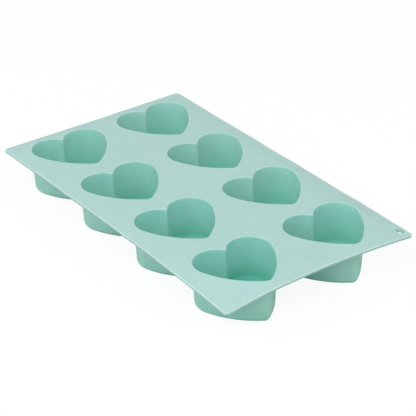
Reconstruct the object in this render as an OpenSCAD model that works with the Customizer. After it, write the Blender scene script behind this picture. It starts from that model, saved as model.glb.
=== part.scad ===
/* [Sheet] */
// Thickness of the flat sheet that joins the hearts
sheet_t = 2.4; // [1.6:0.1:4]
// Radius of the sheet's four corners
corner_r = 3.5; // [2:0.5:9]
// Rounding of the sheet's upper and lower edge
edge_r = 0.6; // [0.2:0.1:0.8]
// Land between the end hearts and the sheet's short edges
end_land = 10.3; // [6:0.1:30]
// Land between the outer hearts and the sheet's long edges
side_land = 14.2; // [6:0.1:30]

/* [Hearts] */
// Hearts in each row
hearts_along = 4; // [1:1:5]
// Rows of hearts
hearts_across = 2; // [1:1:3]
// Land between two hearts of a row
gap_along = 15.3; // [8:0.1:30]
// Land between two rows
gap_across = 19.3; // [8:0.1:30]
// Length of a heart's mouth, lobes to tip
heart_l = 58.4; // [52:0.1:70]
// Width of a heart's mouth, over both lobes
heart_w = 63.3; // [58:0.1:66]
// Radius of each lobe
lobe_r = 16.7; // [15:0.1:19]
// Radius of the long sides' gentle curve
side_r = 70.5; // [50:0.5:120]
// Radius of the tip
tip_r = 4.9; // [3:0.1:8]
// Radius of the groove that the notch leaves outside the cup
groove_r = 1.2; // [0.2:0.1:2]

/* [Cups] */
// Depth of a cavity below the sheet's upper face
cavity_d = 35; // [20:0.5:45]
// Thickness of a cup's wall
wall_t = 0.9; // [0.8:0.1:1.8]
// Thickness of a cup's floor
floor_t = 1.2; // [0.8:0.1:3]
// Draft of the walls, in degrees
draft_a = 2.4; // [0:0.1:4]
// Rounding between a cup's outer wall and its underside
base_r = 5.4; // [3:0.1:8]
// Rounding of a cavity's lip
lip_r = 0.9; // [0.3:0.1:1.4]
// Fillet between a cup's outer wall and the sheet's underside
root_r = 1; // [0.4:0.1:2]

/* [Hanging hole] */
// Radius of the hole
hole_r = 3.1; // [2:0.1:4.2]
// Distance of the hole's centre from the short edge
hole_end = 8.9; // [6:0.1:11]
// Distance of the hole's centre from the long edge
hole_side = 5.8; // [5.5:0.1:9]
// Rounding of the hole's upper lip
hole_lip_r = 0.7; // [0.2:0.1:0.7]

/* [Hidden] */
// Steps of a small rounding and of the cups' wide one
lip_steps = 3;
base_steps = 6;
// Length by which a cutting shape runs past the face that it opens
past = 1;
// Step by which the lobes and the tip stay inside the long sides where their arcs meet
seam = 0.01;
$fn = 96;

// Overall sizes follow from the hearts and the land around them
sheet_l = hearts_along * heart_l + (hearts_along - 1) * gap_along + 2 * end_land;
sheet_w = hearts_across * heart_w + (hearts_across - 1) * gap_across + 2 * side_land;
total_h = cavity_d + floor_t;
sheet_z = total_h - sheet_t;
pitch_along = heart_l + gap_along;
pitch_across = heart_w + gap_across;

// Half a heart's mouth is three arcs that run into each other: lobe, side and tip.
// The middle of the line between the lobes' centres is the heart's own origin.
lobe_c = [0, heart_w / 2 - lobe_r];
tip_c = [heart_l - lobe_r - tip_r, 0];
// The side's centre lies across the heart, where both neighbours' arcs are inside its own
lobe_reach = side_r - lobe_r;
tip_reach = side_r - tip_r;
lobe_to_tip = tip_c - lobe_c;
span = norm(lobe_to_tip);
foot = (pow(lobe_reach, 2) - pow(tip_reach, 2) + pow(span, 2)) / (2 * span);
rise = sqrt(pow(lobe_reach, 2) - pow(foot, 2));
side_c = lobe_c + (foot * lobe_to_tip + rise * [lobe_to_tip.y, -lobe_to_tip.x]) / span;
// The ridge inside the notch has the groove's centre and touches both lobes
ridge_r = groove_r + wall_t;
notch_c = [-sqrt(pow(lobe_r + ridge_r, 2) - pow(lobe_c.y, 2)), 0];
// Directions in which one arc hands over to the next
side_from_a = atan2(tip_c.y - side_c.y, tip_c.x - side_c.x);
side_to_a = atan2(lobe_c.y - side_c.y, lobe_c.x - side_c.x);

// Points of an arc in a section, radius against height
function arc(c, r, from, to, steps) =
    [for (i = [0:steps]) let (a = from + (to - from) * i / steps) c + r * [cos(a), sin(a)]];

// How far a drafted wall stands out from the mouth's outline at height z
function wall_out(out, z) = out - (total_h - z) * tan(draft_a);

// Section of a drafted wall, from the round at its foot to the flare at its head
function wall_section(out, foot_z, foot_r, head_z, head_r, end_z) =
    let (foot_c = [wall_out(out, foot_z + foot_r) - foot_r / cos(draft_a), foot_z + foot_r])
    let (head_c = [wall_out(out, head_z - head_r) + head_r / cos(draft_a), head_z - head_r])
    concat(
        arc(foot_c, foot_r, -90, -draft_a, base_steps),
        arc(head_c, head_r, 180 - draft_a, 90, lip_steps),
        [[head_c.x, end_z]]
    );

cavity_section = wall_section(0, floor_t, base_r - wall_t, total_h, lip_r, total_h + past);
cup_section = wall_section(wall_t, 0, base_r, sheet_z, root_r, sheet_z + sheet_t / 2);

// Heights at which a section begins and ends
function foot_of(section) = section[0].y;
function head_of(section) = section[len(section) - 1].y;

// A section's outline closed along the axis, with its rim set out at radius r
function half_profile(r, section) =
    concat(
        [[0, foot_of(section)]],
        [for (p = section) [max(r + p.x, 0), p.y]],
        [[0, head_of(section)]]
    );

// Upright body with the given outline, as high as a section
module upright(outline, section) {
    translate([0, 0, foot_of(section)])
        linear_extrude(height = head_of(section) - foot_of(section))
            polygon(outline);
}

// One long side: a sector of a wide disc, cut off at the heart's axis
module flank(section) {
    intersection() {
        translate(side_c)
            rotate([0, 0, side_from_a])
                rotate_extrude(angle = side_to_a - side_from_a)
                    polygon(half_profile(side_r, section));
        upright([[-heart_l, 0], [heart_l, 0], [heart_l, heart_w], [-heart_l, heart_w]], section);
    }
}

// Middle of the heart between the lobes, hollowed at the notch by an upright post
module notch(section) {
    difference() {
        upright([notch_c, [lobe_c.x, -lobe_c.y], [tip_c.x / 2, 0], lobe_c], section);
        translate(notch_c)
            rotate_extrude()
                polygon(half_profile(0, post_section(section)));
    }
}

// Section of the notch's post, which swells where the heart's outline draws in
function post_section(section) =
    let (post = [for (p = section) [max(ridge_r - p.x, groove_r / 4), p.y]])
    concat(
        [[post[0].x, foot_of(section) - past]],
        post,
        [[post[len(post) - 1].x, head_of(section) + past]]
    );

// Heart-shaped body: its outline at every height is the mouth's, moved in or out
module heart(section) {
    flank(section);
    mirror([0, 1, 0])
        flank(section);
    notch(section);
    for (side = [-1, 1])
        translate([lobe_c.x, side * lobe_c.y])
            rotate_extrude()
                polygon(half_profile(lobe_r - seam, section));
    translate(tip_c)
        rotate_extrude()
            polygon(half_profile(tip_r - seam, section));
}

// Puts its children at the origin of every heart, with the row's hearts centred on the sheet
module at_each_heart() {
    first = [-(hearts_along - 1) * pitch_along / 2, -(hearts_across - 1) * pitch_across / 2];
    for (i = [0:hearts_along - 1])
        for (j = [0:hearts_across - 1])
            translate([first.x + i * pitch_along + lobe_r - heart_l / 2, first.y + j * pitch_across, 0])
                children();
}

// Section of the sheet's rounded rim, from corner_r inside the edge
function rim_section() =
    concat(
        [[0, sheet_z]],
        arc([corner_r - edge_r, sheet_z + edge_r], edge_r, -90, 0, lip_steps),
        arc([corner_r - edge_r, total_h - edge_r], edge_r, 0, 90, lip_steps),
        [[0, total_h]]
    );

// Flat sheet with rounded corners and edges
module sheet() {
    run_l = sheet_l - 2 * corner_r;
    run_w = sheet_w - 2 * corner_r;
    translate([-run_l / 2, -run_w / 2, sheet_z])
        cube([run_l, run_w, sheet_t]);
    for (turn = [0, 180])
        rotate([0, 0, turn]) {
            translate([run_l / 2, run_w / 2, 0])
                rotate_extrude(angle = 90)
                    polygon(rim_section());
            translate([-run_l / 2, run_w / 2, 0])
                rotate([0, 0, 90])
                    rotate_extrude(angle = 90)
                        polygon(rim_section());
            translate([run_l / 2, run_w / 2, 0])
                rotate([90, 0, 0])
                    linear_extrude(height = run_w)
                        polygon(rim_section());
            translate([-run_l / 2, run_w / 2, 0])
                rotate([90, 0, 90])
                    linear_extrude(height = run_l)
                        polygon(rim_section());
        }
}

// Hole in the sheet's corner, rounded above
module hanging_hole() {
    lip = arc([hole_r + hole_lip_r, total_h - hole_lip_r], hole_lip_r, 180, 90, lip_steps);
    translate([sheet_l / 2 - hole_end, sheet_w / 2 - hole_side, 0]) {
        translate([0, 0, sheet_z - past])
            cylinder(r = hole_r, h = sheet_t + 2 * past);
        rotate_extrude()
            polygon(concat(
                [[0, total_h - hole_lip_r]],
                lip,
                [[hole_r + hole_lip_r, total_h + past], [0, total_h + past]]
            ));
    }
}

// The whole mould, one piece of silicone
module mould() {
    color("#b3d6d0")
        difference() {
            union() {
                sheet();
                at_each_heart()
                    heart(cup_section);
            }
            at_each_heart()
                heart(cavity_section);
            hanging_hole();
        }
}

mould();
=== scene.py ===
"""Heart mould: casts the eight-heart silicone mould over its frame and sets the studio around it.

The mould is one piece of silicone, built from the same arcs as the frame's. It adds what the flat,
stiff frame leaves out: the droop and sway of the soft sheet, its lips' rise and cavities that stand
a little open. The pigment follows three values of each point: its depth, edge and rim. Painted
shade darkens the cups with depth and on the upright rim, a painted highlight pales the thin edges,
and painted light makes the cups paler towards the sheet's far corner.
"""

import math

import bmesh
import bpy
import numpy as np
from mathutils import Matrix, Vector, noise
from mathutils.geometry import delaunay_2d_cdt


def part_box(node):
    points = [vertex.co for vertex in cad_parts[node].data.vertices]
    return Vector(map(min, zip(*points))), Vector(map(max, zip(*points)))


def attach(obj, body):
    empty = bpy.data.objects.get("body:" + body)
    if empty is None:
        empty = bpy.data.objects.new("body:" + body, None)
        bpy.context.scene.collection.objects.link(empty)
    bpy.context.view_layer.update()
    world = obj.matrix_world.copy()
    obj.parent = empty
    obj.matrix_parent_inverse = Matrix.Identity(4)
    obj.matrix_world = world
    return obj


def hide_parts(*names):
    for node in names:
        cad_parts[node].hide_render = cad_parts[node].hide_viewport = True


bl_info = {
    "name": "Heart Mould",
    "version": (1, 0, 0),
    "blender": (4, 5, 0),
    "location": "3D View > Sidebar > Heart Mould",
    "description": "Casts a silicone heart mould and sets the studio around it",
    "category": "Object",
}

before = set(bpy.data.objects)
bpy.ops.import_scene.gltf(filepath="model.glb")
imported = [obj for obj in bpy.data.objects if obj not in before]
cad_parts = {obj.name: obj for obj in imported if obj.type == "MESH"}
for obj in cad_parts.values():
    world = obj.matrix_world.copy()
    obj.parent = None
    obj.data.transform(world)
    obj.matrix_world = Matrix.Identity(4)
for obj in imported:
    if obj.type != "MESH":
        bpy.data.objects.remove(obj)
FRAME_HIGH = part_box("mould")[1]
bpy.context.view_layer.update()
MM = 0.001

# Steps round half a heart: the notch's ridge, a lobe, a long side and the tip
NOTCH_STEPS = 6
LOBE_STEPS = 34
SIDE_STEPS = 26
TIP_STEPS = 8
# Steps down a wall: the lip or root, the straight draft and the round at the foot
LIP_STEPS = 6
WALL_STEPS = 7
FOOT_STEPS = 8
# Steps round the sheet's rim and corners, and round the hanging hole
RIM_STEPS = 5
CORNER_STEPS = 10
HOLE_STEPS = 40
# Distance of the points that carry the sheet's flat faces and those of a cup
GRID = 5 * MM
CUP_GRID = 0.7 * GRID
# Distance from a round to the points beside it that keep the face flat
HOLD = 0.35 * MM
# Smallest round that a heart's corner draws in to
LEAST_ROUND = 0.6 * MM
# Rounding of the hanging hole's lower lip, as a share of its upper one's
HOLE_FOOT = 0.25
# Distance below which two points of a flat face are one
SAME_POINT = 1e-9
# Output of the triangulation that keeps only what lies inside the loops
INSIDE_LOOPS = 1

# Steps of a round that carry a painted highlight, at the sheet's rim and at a cavity's lip, and the lip's
# share of it
RIM_HIGHLIGHT_STEPS = 3
LIP_HIGHLIGHT_STEPS = 2
LIP_HIGHLIGHT = 0.15
# Steps over which the hanging hole's lip takes on the rim's painted shade
HOLE_SHADE_STEPS = 3

# Points along each of the sheet's edges that set its rise, and how many of a lip's points make one that does
EDGE_ANCHORS = 12
LIP_ANCHOR_EVERY = 6
# Step over which the sheet's slope is measured
SLOPE_STEP = 1 * MM
# Height over which the cups' walls stop following the sheet's bend
BEND_FADE = 12 * MM
# Seed of the soft ripple, which makes it the same each time
RIPPLE_SEED = 5

# Kinds of socket
COLOUR = "NodeSocketColor"
VALUE = "NodeSocketFloat"
# Numbers of a colour mix's sockets: its share, its two colours and its result
MIX_INPUTS = (0, 6, 7)
MIX_RESULT = 2
# Clouds in the pigment to a metre, on the faces seen from above and on those below
FACE_CLOUDS = 150
UNDER_CLOUDS = 110
# Range of the clouds' noise that counts
CLOUD_RANGE = (0.3, 0.7)
# Size of the coarse grain's scale and its share of the height, against the fine grain's
COARSE_SCALE = 0.08
COARSE_SHARE = 0.5
# How much the grain swings the roughness, and how much less rough the faces below are
ROUGHNESS_SWING = 0.12
UNDER_SHEEN = 0.08
# Depth at which the outside of a cup would be as dark with painted shade as the foot inside, in heights of
# the mould
UNDER_DEEP_SHADE = 2
# Refraction of silicone, and how far red, green and blue light spread inside it, against each other
SILICONE_IOR = 1.41
GLOW_SPREAD = (0.5, 1.0, 0.9)

# Half the floor's width, and how far it lies below the cups so that the two faces don't meet
FLOOR_REACH = 3.0
FLOOR_DROP = 0.2 * MM
# Angle over which the light of the studio's walls fades out overhead
SKY_FADE = math.radians(10)
# Width of the camera's frame in millimetres, and the nearest and farthest that it sees, in metres
SENSOR_WIDTH = 36
CLIP = (0.05, 20)


class MouldSizes(bpy.types.PropertyGroup):
    """Sizes of the cast mould."""

    hearts_along: bpy.props.IntProperty(
        name="Hearts along", description="Hearts in each row", default=4, min=1, max=5
    )
    hearts_across: bpy.props.IntProperty(
        name="Rows", description="Rows of hearts", default=2, min=1, max=3
    )
    sheet_thickness: bpy.props.FloatProperty(
        name="Sheet thickness", description="Thickness of the flat sheet",
        default=2.4 * MM, unit="LENGTH", precision=5,
    )
    corner_radius: bpy.props.FloatProperty(
        name="Corner radius", description="Radius of the sheet's four corners",
        default=3.5 * MM, unit="LENGTH", precision=5,
    )
    edge_radius: bpy.props.FloatProperty(
        name="Edge radius", description="Rounding of the sheet's upper edge",
        default=0.6 * MM, unit="LENGTH", precision=5,
    )
    lower_edge_radius: bpy.props.FloatProperty(
        name="Lower edge radius", description="Rounding of the sheet's lower edge",
        default=0.9 * MM, unit="LENGTH", precision=5,
    )
    pitch_along: bpy.props.FloatProperty(
        name="Pitch along", description="Distance from one heart to the next in a row",
        default=73.7 * MM, unit="LENGTH", precision=5,
    )
    pitch_across: bpy.props.FloatProperty(
        name="Pitch across", description="Distance from one row to the next",
        default=82.6 * MM, unit="LENGTH", precision=5,
    )
    heart_length: bpy.props.FloatProperty(
        name="Heart length", description="Length of a heart's mouth, lobes to tip",
        default=58.4 * MM, unit="LENGTH", precision=5,
    )
    heart_width: bpy.props.FloatProperty(
        name="Heart width", description="Width of a heart's mouth, over both lobes",
        default=63.3 * MM, unit="LENGTH", precision=5,
    )
    lobe_radius: bpy.props.FloatProperty(
        name="Lobe radius", description="Radius of each lobe",
        default=16.57 * MM, unit="LENGTH", precision=5,
    )
    side_radius: bpy.props.FloatProperty(
        name="Side radius", description="Radius of the long sides' gentle curve",
        default=70.5 * MM, unit="LENGTH", precision=5,
    )
    tip_radius: bpy.props.FloatProperty(
        name="Tip radius", description="Radius of a heart's tip",
        default=4.9 * MM, unit="LENGTH", precision=5,
    )
    groove_radius: bpy.props.FloatProperty(
        name="Groove radius", description="Radius of the groove that the notch leaves outside a cup",
        default=0.5 * MM, unit="LENGTH", precision=5,
    )
    wall: bpy.props.FloatProperty(
        name="Wall", description="Thickness of a cup's wall",
        default=0.9 * MM, unit="LENGTH", precision=5,
    )
    floor: bpy.props.FloatProperty(
        name="Floor", description="Thickness of a cup's floor",
        default=1.2 * MM, unit="LENGTH", precision=5,
    )
    draft: bpy.props.FloatProperty(
        name="Draft", description="Draft of the walls",
        default=math.radians(2.4), subtype="ANGLE",
    )
    foot_radius: bpy.props.FloatProperty(
        name="Foot radius", description="Rounding between a cup's outer wall and its underside",
        default=5.4 * MM, unit="LENGTH", precision=5,
    )
    lip_radius: bpy.props.FloatProperty(
        name="Lip radius", description="Rounding of a cavity's lip",
        default=0.6 * MM, unit="LENGTH", precision=5,
    )
    mouth_ease: bpy.props.FloatProperty(
        name="Mouth ease", description="How far the soft cavities stand open beyond the frame's",
        default=0.4 * MM, unit="LENGTH", precision=5,
    )
    root_radius: bpy.props.FloatProperty(
        name="Root radius", description="Fillet between a cup's outer wall and the sheet",
        default=1 * MM, unit="LENGTH", precision=5,
    )
    hole_radius: bpy.props.FloatProperty(
        name="Hole radius", description="Radius of the hanging hole",
        default=2.85 * MM, unit="LENGTH", precision=5,
    )
    hole_from_end: bpy.props.FloatProperty(
        name="Hole from end", description="Distance of the hole's centre from the short edge",
        default=8.9 * MM, unit="LENGTH", precision=5,
    )
    hole_from_side: bpy.props.FloatProperty(
        name="Hole from side", description="Distance of the hole's centre from the long edge",
        default=5.8 * MM, unit="LENGTH", precision=5,
    )
    hole_lip_radius: bpy.props.FloatProperty(
        name="Hole lip radius", description="Rounding of the hole's upper lip",
        default=0.95 * MM, unit="LENGTH", precision=5,
    )


class MouldBend(bpy.types.PropertyGroup):
    """How the soft sheet hangs from its cups.

    The hearts point to its front, and the hanging hole is on its right.
    """

    corners: bpy.props.FloatVectorProperty(
        name="Corners", description="Rise of the corners: back left, back right, front right, front left",
        default=(-1.5 * MM, -1.6 * MM, -5.0 * MM, -4.9 * MM), size=4, unit="LENGTH", precision=5,
    )
    middles: bpy.props.FloatVectorProperty(
        name="Middles", description="Rise of the edges' middles: back, right, front, left",
        default=(-2.1 * MM, -3.2 * MM, 0.25 * MM, -0.2 * MM), size=4, unit="LENGTH", precision=5,
    )
    sways: bpy.props.FloatVectorProperty(
        name="Sways", description="Rise of the edges' first half and fall of their second, in that order",
        default=(0, 0, -0.3 * MM, 0.65 * MM), size=4, unit="LENGTH", precision=5,
    )
    lips: bpy.props.FloatProperty(
        name="Lips", description="Rise of the hearts' lips", default=0.45 * MM, unit="LENGTH", precision=5
    )
    ripple: bpy.props.FloatProperty(
        name="Ripple", description="Height of the soft unevenness of the walls and the sheet",
        default=0.12 * MM, unit="LENGTH", precision=5,
    )
    ripple_length: bpy.props.FloatProperty(
        name="Ripple length", description="Distance from one soft rise to the next",
        default=26 * MM, unit="LENGTH", precision=5,
    )


class SiliconeFinish(bpy.types.PropertyGroup):
    """Colours and surface of the silicone, with the painted shade, painted highlights and painted light of
    its colour.
    """

    face: bpy.props.FloatVectorProperty(
        name="Face", description="Colour of the sheet", subtype="COLOR",
        default=(0.405, 0.615, 0.58), size=3, min=0, max=1,
    )
    # Painted shade: the cavities' walls are painted darker and greener than the face, standing in for the
    # shade and bounced light inside the cups
    wall: bpy.props.FloatVectorProperty(
        name="Wall", description="Colour of the cups' thin walls, which light passes through",
        subtype="COLOR", default=(0.262, 0.614, 0.535), size=3, min=0, max=1,
    )
    # Painted light: the cavities' walls are painted paler towards the sheet's far corner
    wall_far_light: bpy.props.FloatVectorProperty(
        name="Wall back", description="Colour that the cups' walls fade to towards the sheet's far corner",
        subtype="COLOR", default=(0.315, 0.604, 0.533), size=3, min=0, max=1,
    )
    # Painted shade at the cups' foot, where little light reaches
    deep_shade: bpy.props.FloatVectorProperty(
        name="Deep", description="Colour at the foot of the cups", subtype="COLOR",
        default=(0.08, 0.45, 0.345), size=3, min=0, max=1,
    )
    # Painted light: the cups' foot is painted paler towards the sheet's far corner
    deep_far_light: bpy.props.FloatVectorProperty(
        name="Deep back", description="Colour that the cups' foot fades to towards the sheet's far corner",
        subtype="COLOR", default=(0.235, 0.575, 0.49), size=3, min=0, max=1,
    )
    # Depth below the lip over which the walls' painted shade sets in
    wall_shade_depth: bpy.props.FloatProperty(
        name="Wall depth", description="Depth at which a cup's wall has its full colour",
        default=0.9 * MM, unit="LENGTH", precision=5,
    )
    # Depth from which the painted shade darkens a cup towards its foot
    deep_shade_from: bpy.props.FloatProperty(
        name="Deep from", description="Depth from which a cup's wall darkens towards its foot",
        default=20 * MM, unit="LENGTH", precision=5,
    )
    # Reach and slant of the painted light fade across the sheet
    light_fade_reach: bpy.props.FloatProperty(
        name="Fade reach", description="Distance each way from the middle over which the cups' colour fades",
        default=100 * MM, unit="LENGTH", precision=5,
    )
    light_fade_slant: bpy.props.FloatProperty(
        name="Fade slant", description="How much of the fade runs along the sheet as well as across it",
        default=-0.7, min=-1, max=1,
    )
    # Painted shade: the cups' outside and the sheet's underside are painted darker than the sheet's face
    cup: bpy.props.FloatVectorProperty(
        name="Cup", description="Colour of the cups' outside", subtype="COLOR",
        default=(0.30, 0.55, 0.475), size=3, min=0, max=1,
    )
    # Painted light: the cups' outside is painted paler towards the sheet's far corner
    cup_far_light: bpy.props.FloatVectorProperty(
        name="Cup back", description="Colour that the cups' outside fades to towards the sheet's far corner",
        subtype="COLOR", default=(0.355, 0.61, 0.545), size=3, min=0, max=1,
    )
    # Painted shade on the sheet's upright rim and the hanging hole's wall, painted darker than the face
    rim: bpy.props.FloatVectorProperty(
        name="Rim", description="Colour of the sheet's upright rim and of the hanging hole's wall",
        subtype="COLOR", default=(0.285, 0.50, 0.435), size=3, min=0, max=1,
    )
    # Painted highlight: thin edges and lips are painted paler, as a light line along them
    edge: bpy.props.FloatVectorProperty(
        name="Edge", description="Colour of thin edges, where light comes through", subtype="COLOR",
        default=(0.66, 0.70, 0.67), size=3, min=0, max=1,
    )
    highlight_share: bpy.props.FloatProperty(
        name="Edge share", description="How far thin edges take on their own colour",
        default=0.8, min=0, max=1,
    )
    roughness: bpy.props.FloatProperty(
        name="Roughness", description="Roughness of the moulded surface", default=0.55, min=0, max=1
    )
    mottle: bpy.props.FloatProperty(
        name="Mottle", description="Strength of the faint clouding of the pigment",
        default=0.025, min=0, max=1,
    )
    grain_size: bpy.props.FloatProperty(
        name="Grain size", description="Distance from one grain of the surface to the next",
        default=0.6 * MM, unit="LENGTH", precision=6,
    )
    grain_height: bpy.props.FloatProperty(
        name="Grain height", description="Depth of the mould's fine blasted grain",
        default=0.02 * MM, unit="LENGTH", precision=6,
    )
    glow: bpy.props.FloatProperty(
        name="Glow", description="Share of light that spreads inside the silicone",
        default=0.25, min=0, max=1,
    )
    glow_depth: bpy.props.FloatProperty(
        name="Glow depth", description="How far light spreads inside the silicone",
        default=2 * MM, unit="LENGTH", precision=5,
    )


class StudioSettings(bpy.types.PropertyGroup):
    """Camera, floor and lamps."""

    azimuth: bpy.props.FloatProperty(
        name="Azimuth", description="Direction of the camera's view round the mould",
        default=math.radians(53.81), subtype="ANGLE",
    )
    elevation: bpy.props.FloatProperty(
        name="Elevation", description="Height of the camera above the level",
        default=math.radians(29.75), subtype="ANGLE",
    )
    roll: bpy.props.FloatProperty(
        name="Roll", description="Turn of the camera about its own view",
        default=math.radians(-0.817), subtype="ANGLE",
    )
    distance: bpy.props.FloatProperty(
        name="Distance", description="Distance from the camera to the sheet's middle",
        default=1222.9 * MM, unit="LENGTH", precision=5,
    )
    aside: bpy.props.FloatVectorProperty(
        name="Aside", description="How far the camera stands right of the sheet's middle and above it",
        default=(7.339 * MM, -16.724 * MM), size=2, unit="LENGTH", precision=5,
    )
    focal_length: bpy.props.FloatProperty(
        name="Focal length", description="Focal length on a 36 mm wide frame, in millimetres",
        default=136.27,
    )
    floor_colour: bpy.props.FloatVectorProperty(
        name="Floor colour", description="Colour of the paper floor", subtype="COLOR",
        default=(0.8, 0.8, 0.8), size=3, min=0, max=1,
    )
    shadow: bpy.props.FloatProperty(
        name="Shadow", description="How strongly the floor shows the mould's shadow",
        default=0.09, min=0, max=1,
    )
    panel_power: bpy.props.FloatVectorProperty(
        name="Panel power", description="Power of the soft panels left and right of the camera, in watts",
        default=(47, 25), size=2, min=0,
    )
    panel_size: bpy.props.FloatVectorProperty(
        name="Panel size", description="Width and height of a soft panel",
        default=(3.4, 1.7), size=2, unit="LENGTH",
    )
    panel_distance: bpy.props.FloatProperty(
        name="Panel distance", description="Distance from a panel to the mould", default=2.4, unit="LENGTH"
    )
    panel_turn: bpy.props.FloatProperty(
        name="Panel turn", description="How far a panel stands round from the camera",
        default=math.radians(45), subtype="ANGLE",
    )
    panel_lift: bpy.props.FloatProperty(
        name="Panel lift", description="Height of the panels above the level",
        default=math.radians(50), subtype="ANGLE",
    )
    sky_strength: bpy.props.FloatProperty(
        name="Sky strength", description="Strength of the even light from the studio's walls",
        default=0.68, min=0,
    )
    sky_top: bpy.props.FloatProperty(
        name="Sky top", description="Height above the level at which the studio's walls end",
        default=math.radians(45), subtype="ANGLE",
    )


class HeartOutline:
    """A heart's outline as arcs that run into each other, at any distance out from its mouth's."""

    def __init__(self, sizes):
        self.lobe_radius = sizes.lobe_radius
        self.side_radius = sizes.side_radius
        self.tip_radius = sizes.tip_radius
        self.ridge_radius = sizes.groove_radius + sizes.wall
        self.lobe = np.array((0.0, sizes.heart_width / 2 - sizes.lobe_radius))
        tip = np.array((sizes.heart_length - sizes.lobe_radius - sizes.tip_radius, 0.0))
        # The side's centre lies across the heart, inside whose arc both neighbours' arcs touch it
        lobe_reach = self.side_radius - self.lobe_radius
        tip_reach = self.side_radius - self.tip_radius
        way = tip - self.lobe
        span = np.hypot(*way)
        foot = (lobe_reach**2 - tip_reach**2 + span**2) / (2 * span)
        rise = math.sqrt(lobe_reach**2 - foot**2)
        self.side = self.lobe + (foot * way + rise * np.array((way[1], -way[0]))) / span
        self.side_end = math.atan2(*(self.lobe - self.side)[::-1])

    def points(self, out):
        """Points of the outline set out by a distance, from the notch over one lobe to the tip and back."""
        lobe_r = self.lobe_radius + out
        side_r = self.side_radius + out
        ridge_r = max(self.ridge_radius - out, LEAST_ROUND)
        tip_r = max(self.tip_radius + out, LEAST_ROUND)
        notch = np.array((-math.sqrt((lobe_r + ridge_r) ** 2 - self.lobe[1] ** 2), 0.0))
        tip = np.array((self.side[0] + math.sqrt((side_r - tip_r) ** 2 - self.side[1] ** 2), 0.0))
        to_lobe = math.atan2(self.lobe[1], -notch[0])
        to_side = math.atan2(-self.side[1], tip[0] - self.side[0])
        half = np.vstack((
            arc(notch, ridge_r, 0, to_lobe, NOTCH_STEPS),
            arc(self.lobe, lobe_r, to_lobe + math.pi, self.side_end, LOBE_STEPS),
            arc(self.side, side_r, self.side_end, to_side, SIDE_STEPS),
            arc(tip, tip_r, to_side, 0, TIP_STEPS),
        ))
        end = tip + (tip_r, 0)
        return np.vstack((half, end, half[:0:-1] * (1, -1)))


def arc(centre, radius, start, end, steps):
    """Points along an arc, without its last one."""
    angles = np.linspace(start, end, steps, endpoint=False)
    return centre + radius * np.column_stack((np.cos(angles), np.sin(angles)))


def round_steps(centre, radius, start, end, steps):
    """Section points along a round, from one direction to another, in degrees."""
    angles = np.radians(np.linspace(start, end, steps + 1))
    return [(centre[0] + radius * math.cos(a), centre[1] + radius * math.sin(a)) for a in angles]


def wall_section(sizes, out, foot_z, foot_radius, head_z, head_radius):
    """Section of a drafted wall from its flared head down to its foot: distance out against height."""
    top = FRAME_HIGH.z
    draft = sizes.draft
    degrees = math.degrees(draft)

    def at(z):
        return out - (top - z) * math.tan(draft)

    head = (at(head_z - head_radius) + head_radius / math.cos(draft), head_z - head_radius)
    foot = (at(foot_z + foot_radius) - foot_radius / math.cos(draft), foot_z + foot_radius)
    flare = round_steps(head, head_radius, 90, 180 - degrees, LIP_STEPS)
    toe = round_steps(foot, foot_radius, -degrees, -90, FOOT_STEPS)
    draft_steps = np.linspace(flare[-1][1], toe[0][1], WALL_STEPS + 1)[1:-1]
    wall = [(at(z), z) for z in draft_steps]
    return [(flare[0][0] + HOLD, head_z)] + flare + wall + toe + [(toe[-1][0] - HOLD, foot_z)]


def sheet_outline(sizes, inset):
    """Points round the sheet's rounded outline, drawn in by a distance."""
    centre = np.array((FRAME_HIGH.x, FRAME_HIGH.y)) - sizes.corner_radius
    radius = sizes.corner_radius - inset
    corners = [centre * side for side in ((1, 1), (-1, 1), (-1, -1), (1, -1))]
    points = []
    for turn, (corner, following) in enumerate(zip(corners, corners[1:] + corners[:1])):
        start, end = turn * math.pi / 2, (turn + 1) * math.pi / 2
        points.extend(arc(corner, radius, start, end, CORNER_STEPS))
        edge = corner + radius * np.array((math.cos(end), math.sin(end)))
        steps = round(np.hypot(*(following - corner)) / GRID)
        points.extend(edge + (following - corner) * k / steps for k in range(steps))
    return np.array(points)


def inside(points, outline):
    """Which of the points lie inside a closed outline."""
    x, y = points[:, 0], points[:, 1]
    found = np.zeros(len(points), bool)
    for (x0, y0), (x1, y1) in zip(outline, np.roll(outline, -1, axis=0)):
        if y0 == y1:
            continue
        crosses = (y0 > y) != (y1 > y)
        found ^= crosses & (x < (x1 - x0) * (y - y0) / (y1 - y0) + x0)
    return found


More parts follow.
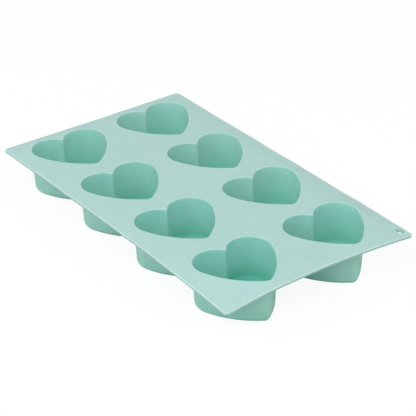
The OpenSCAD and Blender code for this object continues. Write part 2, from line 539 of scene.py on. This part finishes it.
class Casting:
    """The mould's mesh while it grows: points, faces, which faces lie below, and each point's depth and
    masks of painted highlight (edge) and painted shade (rim).
    """

    def __init__(self):
        self.points = []
        self.faces = []
        self.under = []
        self.edge = []
        self.rim = []
        self.depth = []

    def ring(self, outline, z, edge=0.0, rim=0.0, depth=0.0):
        """Adds a level ring of points and returns their numbers."""
        start = len(self.points)
        self.points.extend((x, y, z) for x, y in outline)
        self.edge.extend([edge] * len(outline))
        self.rim.extend([rim] * len(outline))
        self.depth.extend([depth] * len(outline))
        return np.arange(start, len(self.points))

    def skin(self, rings, under):
        """Joins each ring to the next with a band of faces."""
        for upper, lower in zip(rings, rings[1:]):
            band = zip(upper, np.roll(upper, -1), np.roll(lower, -1), lower)
            self.faces.extend(tuple(int(i) for i in face) for face in band)
            self.under.extend([under] * len(upper))

    def fill(self, rim, holes, z, spacing, under, depth=0.0):
        """Fills the flat face inside a rim and round its holes, on a grid of points."""
        flat = np.array(self.points)[:, :2]
        rims = [flat[rim]] + [flat[hole] for hole in holes]
        low, high = rims[0].min(0), rims[0].max(0)
        counts = np.maximum(np.round((high - low) / spacing).astype(int), 2)
        steps = [np.linspace(low[k], high[k], counts[k] + 1)[1:-1] for k in range(2)]
        grid = np.stack(np.meshgrid(*steps, indexing="ij"), -1).reshape(-1, 2)
        kept = inside(grid, rims[0])
        for hole in rims[1:]:
            kept &= ~inside(grid, hole)
        grid = grid[kept]
        away = np.full(len(grid), np.inf)
        for point in np.vstack(rims):
            away = np.minimum(away, np.hypot(*(grid - point).T))
        grid = grid[away > spacing / 2]
        inner = self.ring(grid, z, depth=depth)
        numbers = np.concatenate([rim, *holes, inner])
        edges = []
        start = 0
        for loop in [rim, *holes]:
            edges += [(start + k, start + (k + 1) % len(loop)) for k in range(len(loop))]
            start += len(loop)
        flat = [Vector(point[:2]) for point in np.array(self.points)[numbers]]
        _, _, triangles, sources, _, _ = delaunay_2d_cdt(flat, edges, [], INSIDE_LOOPS, SAME_POINT)
        triangles = np.array([[sources[i][0] for i in face] for face in triangles])
        middles = np.array([[sum(flat[i][k] for i in face) / 3 for k in range(2)] for face in triangles])
        solid = np.ones(len(triangles), bool)
        for hole in rims[1:]:
            solid &= ~inside(middles, hole)
        self.faces.extend(tuple(int(numbers[i]) for i in face) for face in triangles[solid])
        self.under.extend([under] * int(solid.sum()))


def heart_centres(sizes):
    """Origins of the hearts: the middle between a heart's lobes."""
    for i in range(sizes.hearts_along):
        for j in range(sizes.hearts_across):
            yield np.array((
                (i - (sizes.hearts_along - 1) / 2) * sizes.pitch_along
                + sizes.lobe_radius - sizes.heart_length / 2,
                (j - (sizes.hearts_across - 1) / 2) * sizes.pitch_across,
            ))


def cast_cup(casting, sizes, outline, centre):
    """Adds one heart's cavity and cup and returns the rings where they meet the sheet's two faces."""
    top = FRAME_HIGH.z
    foot = sizes.foot_radius - sizes.wall
    cavity = wall_section(sizes, sizes.mouth_ease, sizes.floor, foot, top, sizes.lip_radius)
    cup = wall_section(
        sizes, sizes.wall, 0, sizes.foot_radius, top - sizes.sheet_thickness, sizes.root_radius
    )
    rings = []
    for step, (out, z) in enumerate(cavity):
        # The lip's first steps carry a faint painted highlight
        lip = LIP_HIGHLIGHT if 1 <= step <= LIP_HIGHLIGHT_STEPS else 0.0
        rings.append(casting.ring(outline.points(out) + centre, z, edge=lip, depth=top - z))
    casting.skin(rings, False)
    casting.fill(rings[-1], [], sizes.floor, CUP_GRID, False, depth=top)
    cup_rings = [casting.ring(outline.points(out) + centre, z, depth=top - z) for out, z in cup]
    casting.skin(cup_rings, True)
    casting.fill(cup_rings[-1], [], 0.0, CUP_GRID, True, depth=top)
    return rings[0], cup_rings[0]


def cast_hole(casting, sizes):
    """Adds the hanging hole and returns its rings in the sheet's two faces."""
    top = FRAME_HIGH.z
    bottom = top - sizes.sheet_thickness
    lip = sizes.hole_lip_radius
    foot = HOLE_FOOT * lip
    section = [(sizes.hole_radius + lip + HOLD, top)]
    section += round_steps((sizes.hole_radius + lip, top - lip), lip, 90, 180, LIP_STEPS)
    section += round_steps((sizes.hole_radius + foot, bottom + foot), foot, 180, 270, LIP_STEPS)
    section += [(sizes.hole_radius + foot + HOLD, bottom)]
    centre = np.array((FRAME_HIGH.x - sizes.hole_from_end, FRAME_HIGH.y - sizes.hole_from_side))
    rings = []
    for step, (radius, z) in enumerate(section):
        # The hole's wall takes on the rim's painted shade step by step
        upright = min(max((step - 1) / HOLE_SHADE_STEPS, 0), 1)
        outline = arc(centre, radius, 0, 2 * math.pi, HOLE_STEPS)
        rings.append(casting.ring(outline, z, rim=upright, depth=top - z))
    casting.skin(rings, False)
    return rings[0], rings[-1]


def cast_rim(casting, sizes):
    """Adds the sheet's rounded rim and returns its rings in the two faces."""
    top = FRAME_HIGH.z
    bottom = top - sizes.sheet_thickness
    upper, lower = sizes.edge_radius, sizes.lower_edge_radius
    section = [(upper + HOLD, top)]
    section += [(upper - x, z) for x, z in round_steps((0, top - upper), upper, 90, 0, RIM_STEPS)]
    section += [(lower - x, z) for x, z in round_steps((0, bottom + lower), lower, 0, -90, RIM_STEPS)]
    section += [(lower + HOLD, bottom)]
    rings = []
    for step, (inset, z) in enumerate(section):
        # The upper round carries a painted highlight, and the upright face below it the rim's painted shade
        arris_highlight = 1.0 if 1 <= step <= RIM_HIGHLIGHT_STEPS else 0.0
        upright = 0.0 if step <= RIM_HIGHLIGHT_STEPS else 1.0
        outline = sheet_outline(sizes, inset)
        rings.append(casting.ring(outline, z, edge=arris_highlight, rim=upright, depth=top - z))
    casting.skin(rings, False)
    return rings[0], rings[-1]


def edge_curve(start, middle, end, sway, share):
    """Rise along an edge that passes through its two ends' and its middle's and sways between them."""
    bow = start * (1 - share) * (1 - 2 * share)
    bow += middle * 4 * share * (1 - share)
    bow += end * share * (2 * share - 1)
    return bow + sway * math.sin(2 * math.pi * share)


def plate_kernel(points, anchors):
    """How a thin plate gives way at each point round each anchor."""
    gap = np.hypot(points[:, None, 0] - anchors[None, :, 0], points[:, None, 1] - anchors[None, :, 1])
    return gap**2 * np.log(np.maximum(gap, SAME_POINT))


class SheetBend:
    """The sheet as a thin plate that the hearts' lips hold up and that droops at its edges."""

    def __init__(self, sizes, bend, outline):
        corners = [Vector(c) for c in ((-1, -1), (-1, 1), (1, 1), (1, -1))]
        anchors, heights = [], []
        shares = np.linspace(0, 1, EDGE_ANCHORS, endpoint=False)
        for k in range(4):
            start, end = corners[k], corners[(k + 1) % 4]
            rise = (bend.corners[k], bend.middles[k], bend.corners[(k + 1) % 4], bend.sways[k])
            for share in shares:
                spot = start.lerp(end, share)
                anchors.append((spot.x * FRAME_HIGH.x, spot.y * FRAME_HIGH.y))
                heights.append(edge_curve(*rise, share))
        rim = outline.points(sizes.mouth_ease + sizes.lip_radius + HOLD)[::LIP_ANCHOR_EVERY]
        for centre in heart_centres(sizes):
            anchors.extend(rim + centre)
            heights.extend([bend.lips] * len(rim))
        self.anchors = np.array(anchors)
        count = len(self.anchors)
        plane = np.column_stack((np.ones(count), self.anchors))
        kernel = plate_kernel(self.anchors, self.anchors)
        system = np.block([[kernel, plane], [plane.T, np.zeros((3, 3))]])
        self.weights = np.linalg.solve(system, np.concatenate((heights, np.zeros(3))))

    def rise(self, points):
        """Rise of the sheet at each point."""
        plane = np.column_stack((np.ones(len(points)), points))
        return plate_kernel(points, self.anchors) @ self.weights[:-3] + plane @ self.weights[-3:]

    def slope(self, points):
        """Slope of the sheet at each point, along X and along Y."""
        level = self.rise(points)
        steps = ((SLOPE_STEP, 0), (0, SLOPE_STEP))
        return np.column_stack([(self.rise(points + step) - level) / SLOPE_STEP for step in steps])


def soften(points, sizes, bend, outline):
    """Bends the cast mould as soft silicone hangs, with a faint ripple in its walls."""
    half = sizes.sheet_thickness / 2
    above = points[:, 2] - (FRAME_HIGH.z - half)
    follow = np.clip((above + half + BEND_FADE) / BEND_FADE, 0, 1)
    sheet = SheetBend(sizes, bend, outline)
    moved = follow > 0
    flat = points[moved, :2].copy()
    points[moved, 2] += sheet.rise(flat) * follow[moved]
    # The sheet's thickness stays square to its bend
    lean = np.clip(above[moved], -half, half) * follow[moved]
    points[moved, :2] -= sheet.slope(flat) * lean[:, None]
    held = np.clip(points[:, 2] / (sizes.foot_radius + sizes.floor), 0, 1)
    noise.seed_set(RIPPLE_SEED)
    for k, point in enumerate(points):
        drift = noise.noise_vector(Vector(point) / bend.ripple_length)
        point += np.array(drift) * bend.ripple * held[k]
    return points


def mould_mesh(sizes, bend):
    """The whole mould as one closed mesh."""
    casting = Casting()
    outline = HeartOutline(sizes)
    upper_rim, lower_rim = cast_rim(casting, sizes)
    upper_holes, lower_holes = [], []
    for centre in heart_centres(sizes):
        mouth, root = cast_cup(casting, sizes, outline, centre)
        upper_holes.append(mouth)
        lower_holes.append(root)
    upper, lower = cast_hole(casting, sizes)
    upper_holes.append(upper)
    lower_holes.append(lower)
    top = FRAME_HIGH.z
    thickness = sizes.sheet_thickness
    casting.fill(upper_rim, upper_holes, top, GRID, False)
    casting.fill(lower_rim, lower_holes, top - thickness, GRID, True, depth=thickness)
    points = soften(np.array(casting.points), sizes, bend, outline)
    mesh = bpy.data.meshes.new("silicone_mould")
    mesh.from_pydata(points.tolist(), [], casting.faces)
    mesh.polygons.foreach_set("material_index", np.array(casting.under, np.int32))
    # The edge mask carries the painted highlight, the rim mask painted shade, and depth the painted shade
    # down the cups
    for name, values in (("edge", casting.edge), ("rim", casting.rim), ("depth", casting.depth)):
        attribute = mesh.attributes.new(name, "FLOAT", "POINT")
        attribute.data.foreach_set("value", np.array(values, np.float32))
    face_out(mesh)
    mesh.shade_smooth()
    return mesh


def face_out(mesh):
    """Turns the closed mesh's faces outwards, and stops if it isn't closed."""
    work = bmesh.new()
    work.from_mesh(mesh)
    if any(not edge.is_manifold for edge in work.edges):
        work.free()
        raise RuntimeError("the mould's mesh has an open edge")
    bmesh.ops.recalc_face_normals(work, faces=work.faces)
    work.to_mesh(mesh)
    work.free()


def add_node(tree, kind, inputs=(), **settings):
    """Adds a node with its settings and the values of its named or numbered inputs."""
    node = tree.nodes.new(kind)
    for name, value in settings.items():
        setattr(node, name, value)
    for name, value in dict(inputs).items():
        if isinstance(value, bpy.types.NodeSocket):
            tree.links.new(value, node.inputs[name])
        else:
            node.inputs[name].default_value = value
    return node


def new_group(name, inputs, outputs):
    """Starts a shader node group with named inputs and outputs, listed by kind of socket."""
    tree = bpy.data.node_groups.new(name, "ShaderNodeTree")
    for way, sockets in (("INPUT", inputs), ("OUTPUT", outputs)):
        for kind, labels in sockets.items():
            for label in labels:
                tree.interface.new_socket(name=label, in_out=way, socket_type=kind)
    return tree, tree.nodes.new("NodeGroupInput").outputs, tree.nodes.new("NodeGroupOutput").inputs


def mix_colours(tree, share, first, second):
    """Mixes two colours by a share and returns the result's socket."""
    inputs = dict(zip(MIX_INPUTS, (share, first, second)))
    return add_node(tree, "ShaderNodeMix", inputs, data_type="RGBA").outputs[MIX_RESULT]


def calculate(tree, operation, *values, **settings):
    """Works out a value and returns the result's socket."""
    inputs = dict(enumerate(values))
    return add_node(tree, "ShaderNodeMath", inputs, operation=operation, **settings).outputs[0]


def remap(tree, value, span, onto=(0.0, 1.0), **settings):
    """Carries a value from one span over to another, held at its ends, and returns the result's socket."""
    inputs = dict(enumerate((value, *span, *onto)))
    return add_node(tree, "ShaderNodeMapRange", inputs, **settings).outputs[0]


def noise_texture(tree, scale, detail, roughness):
    """Noise on the mould's own coordinates; returns its socket."""
    place = add_node(tree, "ShaderNodeTexCoord").outputs["Object"]
    inputs = {"Vector": place, "Scale": scale, "Detail": detail, "Roughness": roughness}
    return add_node(tree, "ShaderNodeTexNoise", inputs).outputs["Fac"]


def point_value(tree, name):
    """Value that the mesh keeps at each point under a name."""
    return add_node(tree, "ShaderNodeAttribute", attribute_name=name).outputs["Fac"]


def pigment_group():
    """Pigment that clouds faintly, with painted shade that deepens down a cup and on the upright rim,
    painted highlights on thin edges and painted light that pales the cups towards the far corner.
    """
    tree, given, result = new_group(
        "silicone_pigment_and_painted_light",
        {
            COLOUR: ("Face", "Wall", "Wall back", "Deep", "Deep back", "Rim", "Edge"),
            VALUE: (
                "Fade reach", "Fade slant", "Wall depth", "Deep from", "Deep at",
                "Cloud scale", "Cloud strength", "Edge share",
            ),
        },
        {COLOUR: ("Colour",)},
    )
    depth = point_value(tree, "depth")
    place = add_node(tree, "ShaderNodeTexCoord").outputs["Object"]
    spot = add_node(tree, "ShaderNodeSeparateXYZ", {0: place}).outputs
    # Painted light: the cups' colours fade paler across the sheet, from its near corner to its far one
    across = calculate(tree, "MULTIPLY_ADD", spot["X"], given["Fade slant"], spot["Y"])
    near = calculate(tree, "MULTIPLY", given["Fade reach"], -1.0)
    back = remap(tree, across, (near, given["Fade reach"]))
    wall = mix_colours(tree, back, given["Wall"], given["Wall back"])
    deep_shade = mix_colours(tree, back, given["Deep"], given["Deep back"])
    # Painted shade darkens a cup towards its foot
    foot = remap(tree, depth, (given["Deep from"], given["Deep at"]))
    cup = mix_colours(tree, foot, wall, deep_shade)
    # Painted shade: below a lip the face's colour gives way to the cups' darker colour
    down = remap(tree, depth, (0.0, given["Wall depth"]), interpolation_type="SMOOTHSTEP")
    colour = mix_colours(tree, down, given["Face"], cup)
    # Painted shade on the upright rim and the hole's wall
    colour = mix_colours(tree, point_value(tree, "rim"), colour, given["Rim"])
    # Painted highlight on thin edges and lips
    highlight = calculate(tree, "MULTIPLY", point_value(tree, "edge"), given["Edge share"], use_clamp=True)
    colour = mix_colours(tree, highlight, colour, given["Edge"])
    clouds = noise_texture(tree, given["Cloud scale"], detail=4.0, roughness=0.6)
    level = remap(tree, clouds, CLOUD_RANGE, (-1.0, 1.0))
    swing = calculate(tree, "MULTIPLY_ADD", level, given["Cloud strength"], 1.0)
    shaded = add_node(tree, "ShaderNodeHueSaturation", {"Value": swing, "Color": colour})
    tree.links.new(shaded.outputs["Color"], result["Colour"])
    return tree


def grain_group():
    """Fine grain of a blasted mould, as height and as roughness."""
    tree, given, result = new_group(
        "blasted_grain",
        {VALUE: ("Grain scale", "Roughness", "Roughness swing")},
        {VALUE: ("Height", "Roughness")},
    )
    fine = noise_texture(tree, given["Grain scale"], detail=3.0, roughness=0.65)
    coarse_scale = calculate(tree, "MULTIPLY", given["Grain scale"], COARSE_SCALE)
    coarse = noise_texture(tree, coarse_scale, detail=2.0, roughness=0.5)
    height = calculate(tree, "MULTIPLY_ADD", coarse, COARSE_SHARE, fine)
    roughness = calculate(tree, "MULTIPLY_ADD", coarse, given["Roughness swing"], given["Roughness"])
    tree.links.new(height, result["Height"])
    tree.links.new(roughness, result["Roughness"])
    return tree


def silicone(name, finish, groups, walls, deep_shade_at, clouds, roughness):
    """Matte pigmented silicone that lets a little light through, with painted shade, painted highlights and
    painted light in its colour.
    """
    material = bpy.data.materials.new(name)
    material.use_nodes = True
    tree = material.node_tree
    surface = tree.nodes["Principled BSDF"].inputs
    colours = {
        "Face": finish.face,
        "Wall": walls[0],
        "Wall back": walls[1],
        "Deep": finish.deep_shade,
        "Deep back": finish.deep_far_light,
        "Rim": finish.rim,
        "Edge": finish.edge,
    }
    values = {
        "Fade reach": finish.light_fade_reach,
        "Fade slant": finish.light_fade_slant,
        "Wall depth": finish.wall_shade_depth,
        "Deep from": finish.deep_shade_from,
        "Deep at": deep_shade_at,
        "Cloud scale": clouds,
        "Cloud strength": finish.mottle,
        "Edge share": finish.highlight_share,
    }
    values.update((label, (*colour, 1)) for label, colour in colours.items())
    pigment = add_node(tree, "ShaderNodeGroup", values, node_tree=groups["pigment"])
    grain = add_node(
        tree, "ShaderNodeGroup",
        {"Grain scale": 1 / finish.grain_size, "Roughness": roughness, "Roughness swing": ROUGHNESS_SWING},
        node_tree=groups["grain"],
    )
    bump = add_node(
        tree, "ShaderNodeBump",
        {"Height": grain.outputs["Height"], "Distance": finish.grain_height, "Strength": 1.0},
    )
    tree.links.new(pigment.outputs["Colour"], surface["Base Color"])
    tree.links.new(grain.outputs["Roughness"], surface["Roughness"])
    tree.links.new(bump.outputs["Normal"], surface["Normal"])
    surface["IOR"].default_value = SILICONE_IOR
    surface["Subsurface Weight"].default_value = finish.glow
    surface["Subsurface Radius"].default_value = GLOW_SPREAD
    surface["Subsurface Scale"].default_value = finish.glow_depth
    return material


class CastMould(bpy.types.Operator):
    """Casts the sheet and its cups in silicone"""

    bl_idname = "heart_mould.cast"
    bl_label = "Cast the mould"

    def execute(self, context):
        scene = context.scene
        finish = scene.mould_finish
        mesh = mould_mesh(scene.mould_sizes, scene.mould_bend)
        groups = {"pigment": pigment_group(), "grain": grain_group()}
        face = silicone(
            "silicone_face", finish, groups, walls=(finish.wall, finish.wall_far_light),
            deep_shade_at=FRAME_HIGH.z, clouds=FACE_CLOUDS, roughness=finish.roughness,
        )
        # The cups' outside and the sheet's underside, with painted shade darker than the face and deepening
        # towards the cups' foot
        under = silicone(
            "silicone_under_painted_shade", finish, groups, walls=(finish.cup, finish.cup_far_light),
            deep_shade_at=UNDER_DEEP_SHADE * FRAME_HIGH.z, clouds=UNDER_CLOUDS,
            roughness=finish.roughness - UNDER_SHEEN,
        )
        mesh.materials.append(face)
        mesh.materials.append(under)
        mould = bpy.data.objects.new("silicone_mould", mesh)
        scene.collection.objects.link(mould)
        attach(mould, "root")
        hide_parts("mould")
        return {"FINISHED"}


def ray_share(tree, first, *others):
    """Socket that is 1 for rays of the named kinds, and 0 for all others."""
    path = add_node(tree, "ShaderNodeLightPath").outputs
    share = path[first]
    for kind in others:
        share = calculate(tree, "MAXIMUM", share, path[kind])
    return share


def paper_floor(studio):
    """White paper that shows the mould's soft shadow and reads as white around it."""
    material = bpy.data.materials.new("paper_floor")
    material.use_nodes = True
    tree = material.node_tree
    tree.nodes.clear()
    grey = (studio.shadow, studio.shadow, studio.shadow, 1)
    paper = add_node(tree, "ShaderNodeBsdfDiffuse", {"Color": (*studio.floor_colour, 1)})
    shaded = add_node(tree, "ShaderNodeBsdfDiffuse", {"Color": grey})
    white = add_node(tree, "ShaderNodeEmission", {"Strength": 1 - studio.shadow})
    seen = add_node(tree, "ShaderNodeAddShader", {0: shaded.outputs[0], 1: white.outputs[0]})
    camera = ray_share(tree, "Is Camera Ray")
    mix = add_node(tree, "ShaderNodeMixShader", {0: camera, 1: paper.outputs[0], 2: seen.outputs[0]})
    add_node(tree, "ShaderNodeOutputMaterial", {"Surface": mix.outputs[0]})
    return material


def light_the_sky(scene, studio):
    """Even light from the studio's walls, with a white background to be seen or mirrored."""
    world = bpy.data.worlds.new("white_studio")
    world.use_nodes = True
    tree = world.node_tree
    tree.nodes.clear()
    way = add_node(tree, "ShaderNodeTexCoord").outputs["Generated"]
    parts = add_node(tree, "ShaderNodeSeparateXYZ", {0: way}).outputs
    fade = [math.sin(studio.sky_top + side * SKY_FADE / 2) for side in (-1, 1)]
    walls = remap(tree, parts["Z"], fade, (studio.sky_strength, 0.0), interpolation_type="SMOOTHSTEP")
    lit = add_node(tree, "ShaderNodeBackground", {"Color": (1, 1, 1, 1), "Strength": walls})
    seen = add_node(tree, "ShaderNodeBackground", {"Color": (1, 1, 1, 1), "Strength": 1.0})
    direct = ray_share(tree, "Is Camera Ray", "Is Glossy Ray", "Is Transmission Ray")
    mix = add_node(tree, "ShaderNodeMixShader", {0: direct, 1: lit.outputs[0], 2: seen.outputs[0]})
    add_node(tree, "ShaderNodeOutputWorld", {"Surface": mix.outputs[0]})
    scene.world = world


def way_out(turn, lift):
    """Direction from the mould at an azimuth and an elevation."""
    return Vector((math.sin(turn) * math.cos(lift), -math.cos(turn) * math.cos(lift), math.sin(lift)))


def place_camera(scene, studio):
    """Camera at the photograph's viewing angle, aimed past the middle of the sheet."""
    turn = studio.azimuth
    back = way_out(turn, studio.elevation)
    right = Vector((math.cos(turn), math.sin(turn), 0))
    up = back.cross(right)
    tilt = Matrix.Rotation(studio.roll, 3, back)
    right, up = tilt @ right, tilt @ up
    middle = Vector((0, 0, FRAME_HIGH.z))
    spot = middle + right * studio.aside[0] + up * studio.aside[1] + back * studio.distance
    lens = bpy.data.cameras.new("camera")
    lens.sensor_width = SENSOR_WIDTH
    lens.lens = studio.focal_length
    lens.clip_start, lens.clip_end = CLIP
    camera = bpy.data.objects.new("camera", lens)
    camera.matrix_world = Matrix.Translation(spot) @ Matrix((right, up, back)).transposed().to_4x4()
    scene.collection.objects.link(camera)
    scene.camera = camera


def add_panel(scene, studio, name, turn, power):
    """Wide soft panel beside the camera, turned to the mould."""
    light = bpy.data.lights.new(name, "AREA")
    light.shape = "RECTANGLE"
    light.size, light.size_y = studio.panel_size
    light.energy = power
    way = way_out(studio.azimuth + turn, studio.panel_lift)
    panel = bpy.data.objects.new(name, light)
    panel.location = Vector((0, 0, FRAME_HIGH.z)) + way * studio.panel_distance
    panel.rotation_euler = way.to_track_quat("Z", "Y").to_euler()
    scene.collection.objects.link(panel)


class SetStage(bpy.types.Operator):
    """Sets the floor, the lamps and the camera"""

    bl_idname = "heart_mould.stage"
    bl_label = "Set the stage"

    def execute(self, context):
        scene = context.scene
        studio = scene.mould_studio
        corners = [(x * FLOOR_REACH, y * FLOOR_REACH, 0) for x, y in ((-1, -1), (1, -1), (1, 1), (-1, 1))]
        mesh = bpy.data.meshes.new("floor")
        mesh.from_pydata(corners, [], [(0, 1, 2, 3)])
        mesh.materials.append(paper_floor(studio))
        floor = bpy.data.objects.new("floor", mesh)
        floor.location.z = -FLOOR_DROP
        scene.collection.objects.link(floor)
        light_the_sky(scene, studio)
        add_panel(scene, studio, "left_panel", -studio.panel_turn, studio.panel_power[0])
        add_panel(scene, studio, "right_panel", studio.panel_turn, studio.panel_power[1])
        place_camera(scene, studio)
        scene.view_settings.view_transform = "Standard"
        return {"FINISHED"}


class MouldPanel(bpy.types.Panel):
    """Sizes, finish and studio of the heart mould"""

    bl_idname = "VIEW3D_PT_heart_mould"
    bl_label = "Heart Mould"
    bl_space_type = "VIEW_3D"
    bl_region_type = "UI"
    bl_category = "Heart Mould"

    def draw(self, context):
        layout = self.layout
        for name in GROUPS:
            box = layout.box()
            settings = getattr(context.scene, name)
            for key in settings.bl_rna.properties.keys():
                if key not in ("rna_type", "name"):
                    box.prop(settings, key)
        for operator in OPERATORS:
            layout.operator(operator.bl_idname)


GROUPS = {
    "mould_sizes": MouldSizes,
    "mould_bend": MouldBend,
    "mould_finish": SiliconeFinish,
    "mould_studio": StudioSettings,
}
OPERATORS = (CastMould, SetStage)


def register():
    """Registers the settings, the operators and the panel."""
    for kind in (*GROUPS.values(), *OPERATORS, MouldPanel):
        bpy.utils.register_class(kind)
    for name, kind in GROUPS.items():
        setattr(bpy.types.Scene, name, bpy.props.PointerProperty(type=kind))


def unregister():
    """Takes the panel, the operators and the settings away again."""
    for name in GROUPS:
        delattr(bpy.types.Scene, name)
    for kind in reversed((*GROUPS.values(), *OPERATORS, MouldPanel)):
        bpy.utils.unregister_class(kind)


def main():
    """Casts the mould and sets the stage."""
    register()
    bpy.ops.heart_mould.cast()
    bpy.ops.heart_mould.stage()


if __name__ == "__main__":
    main()
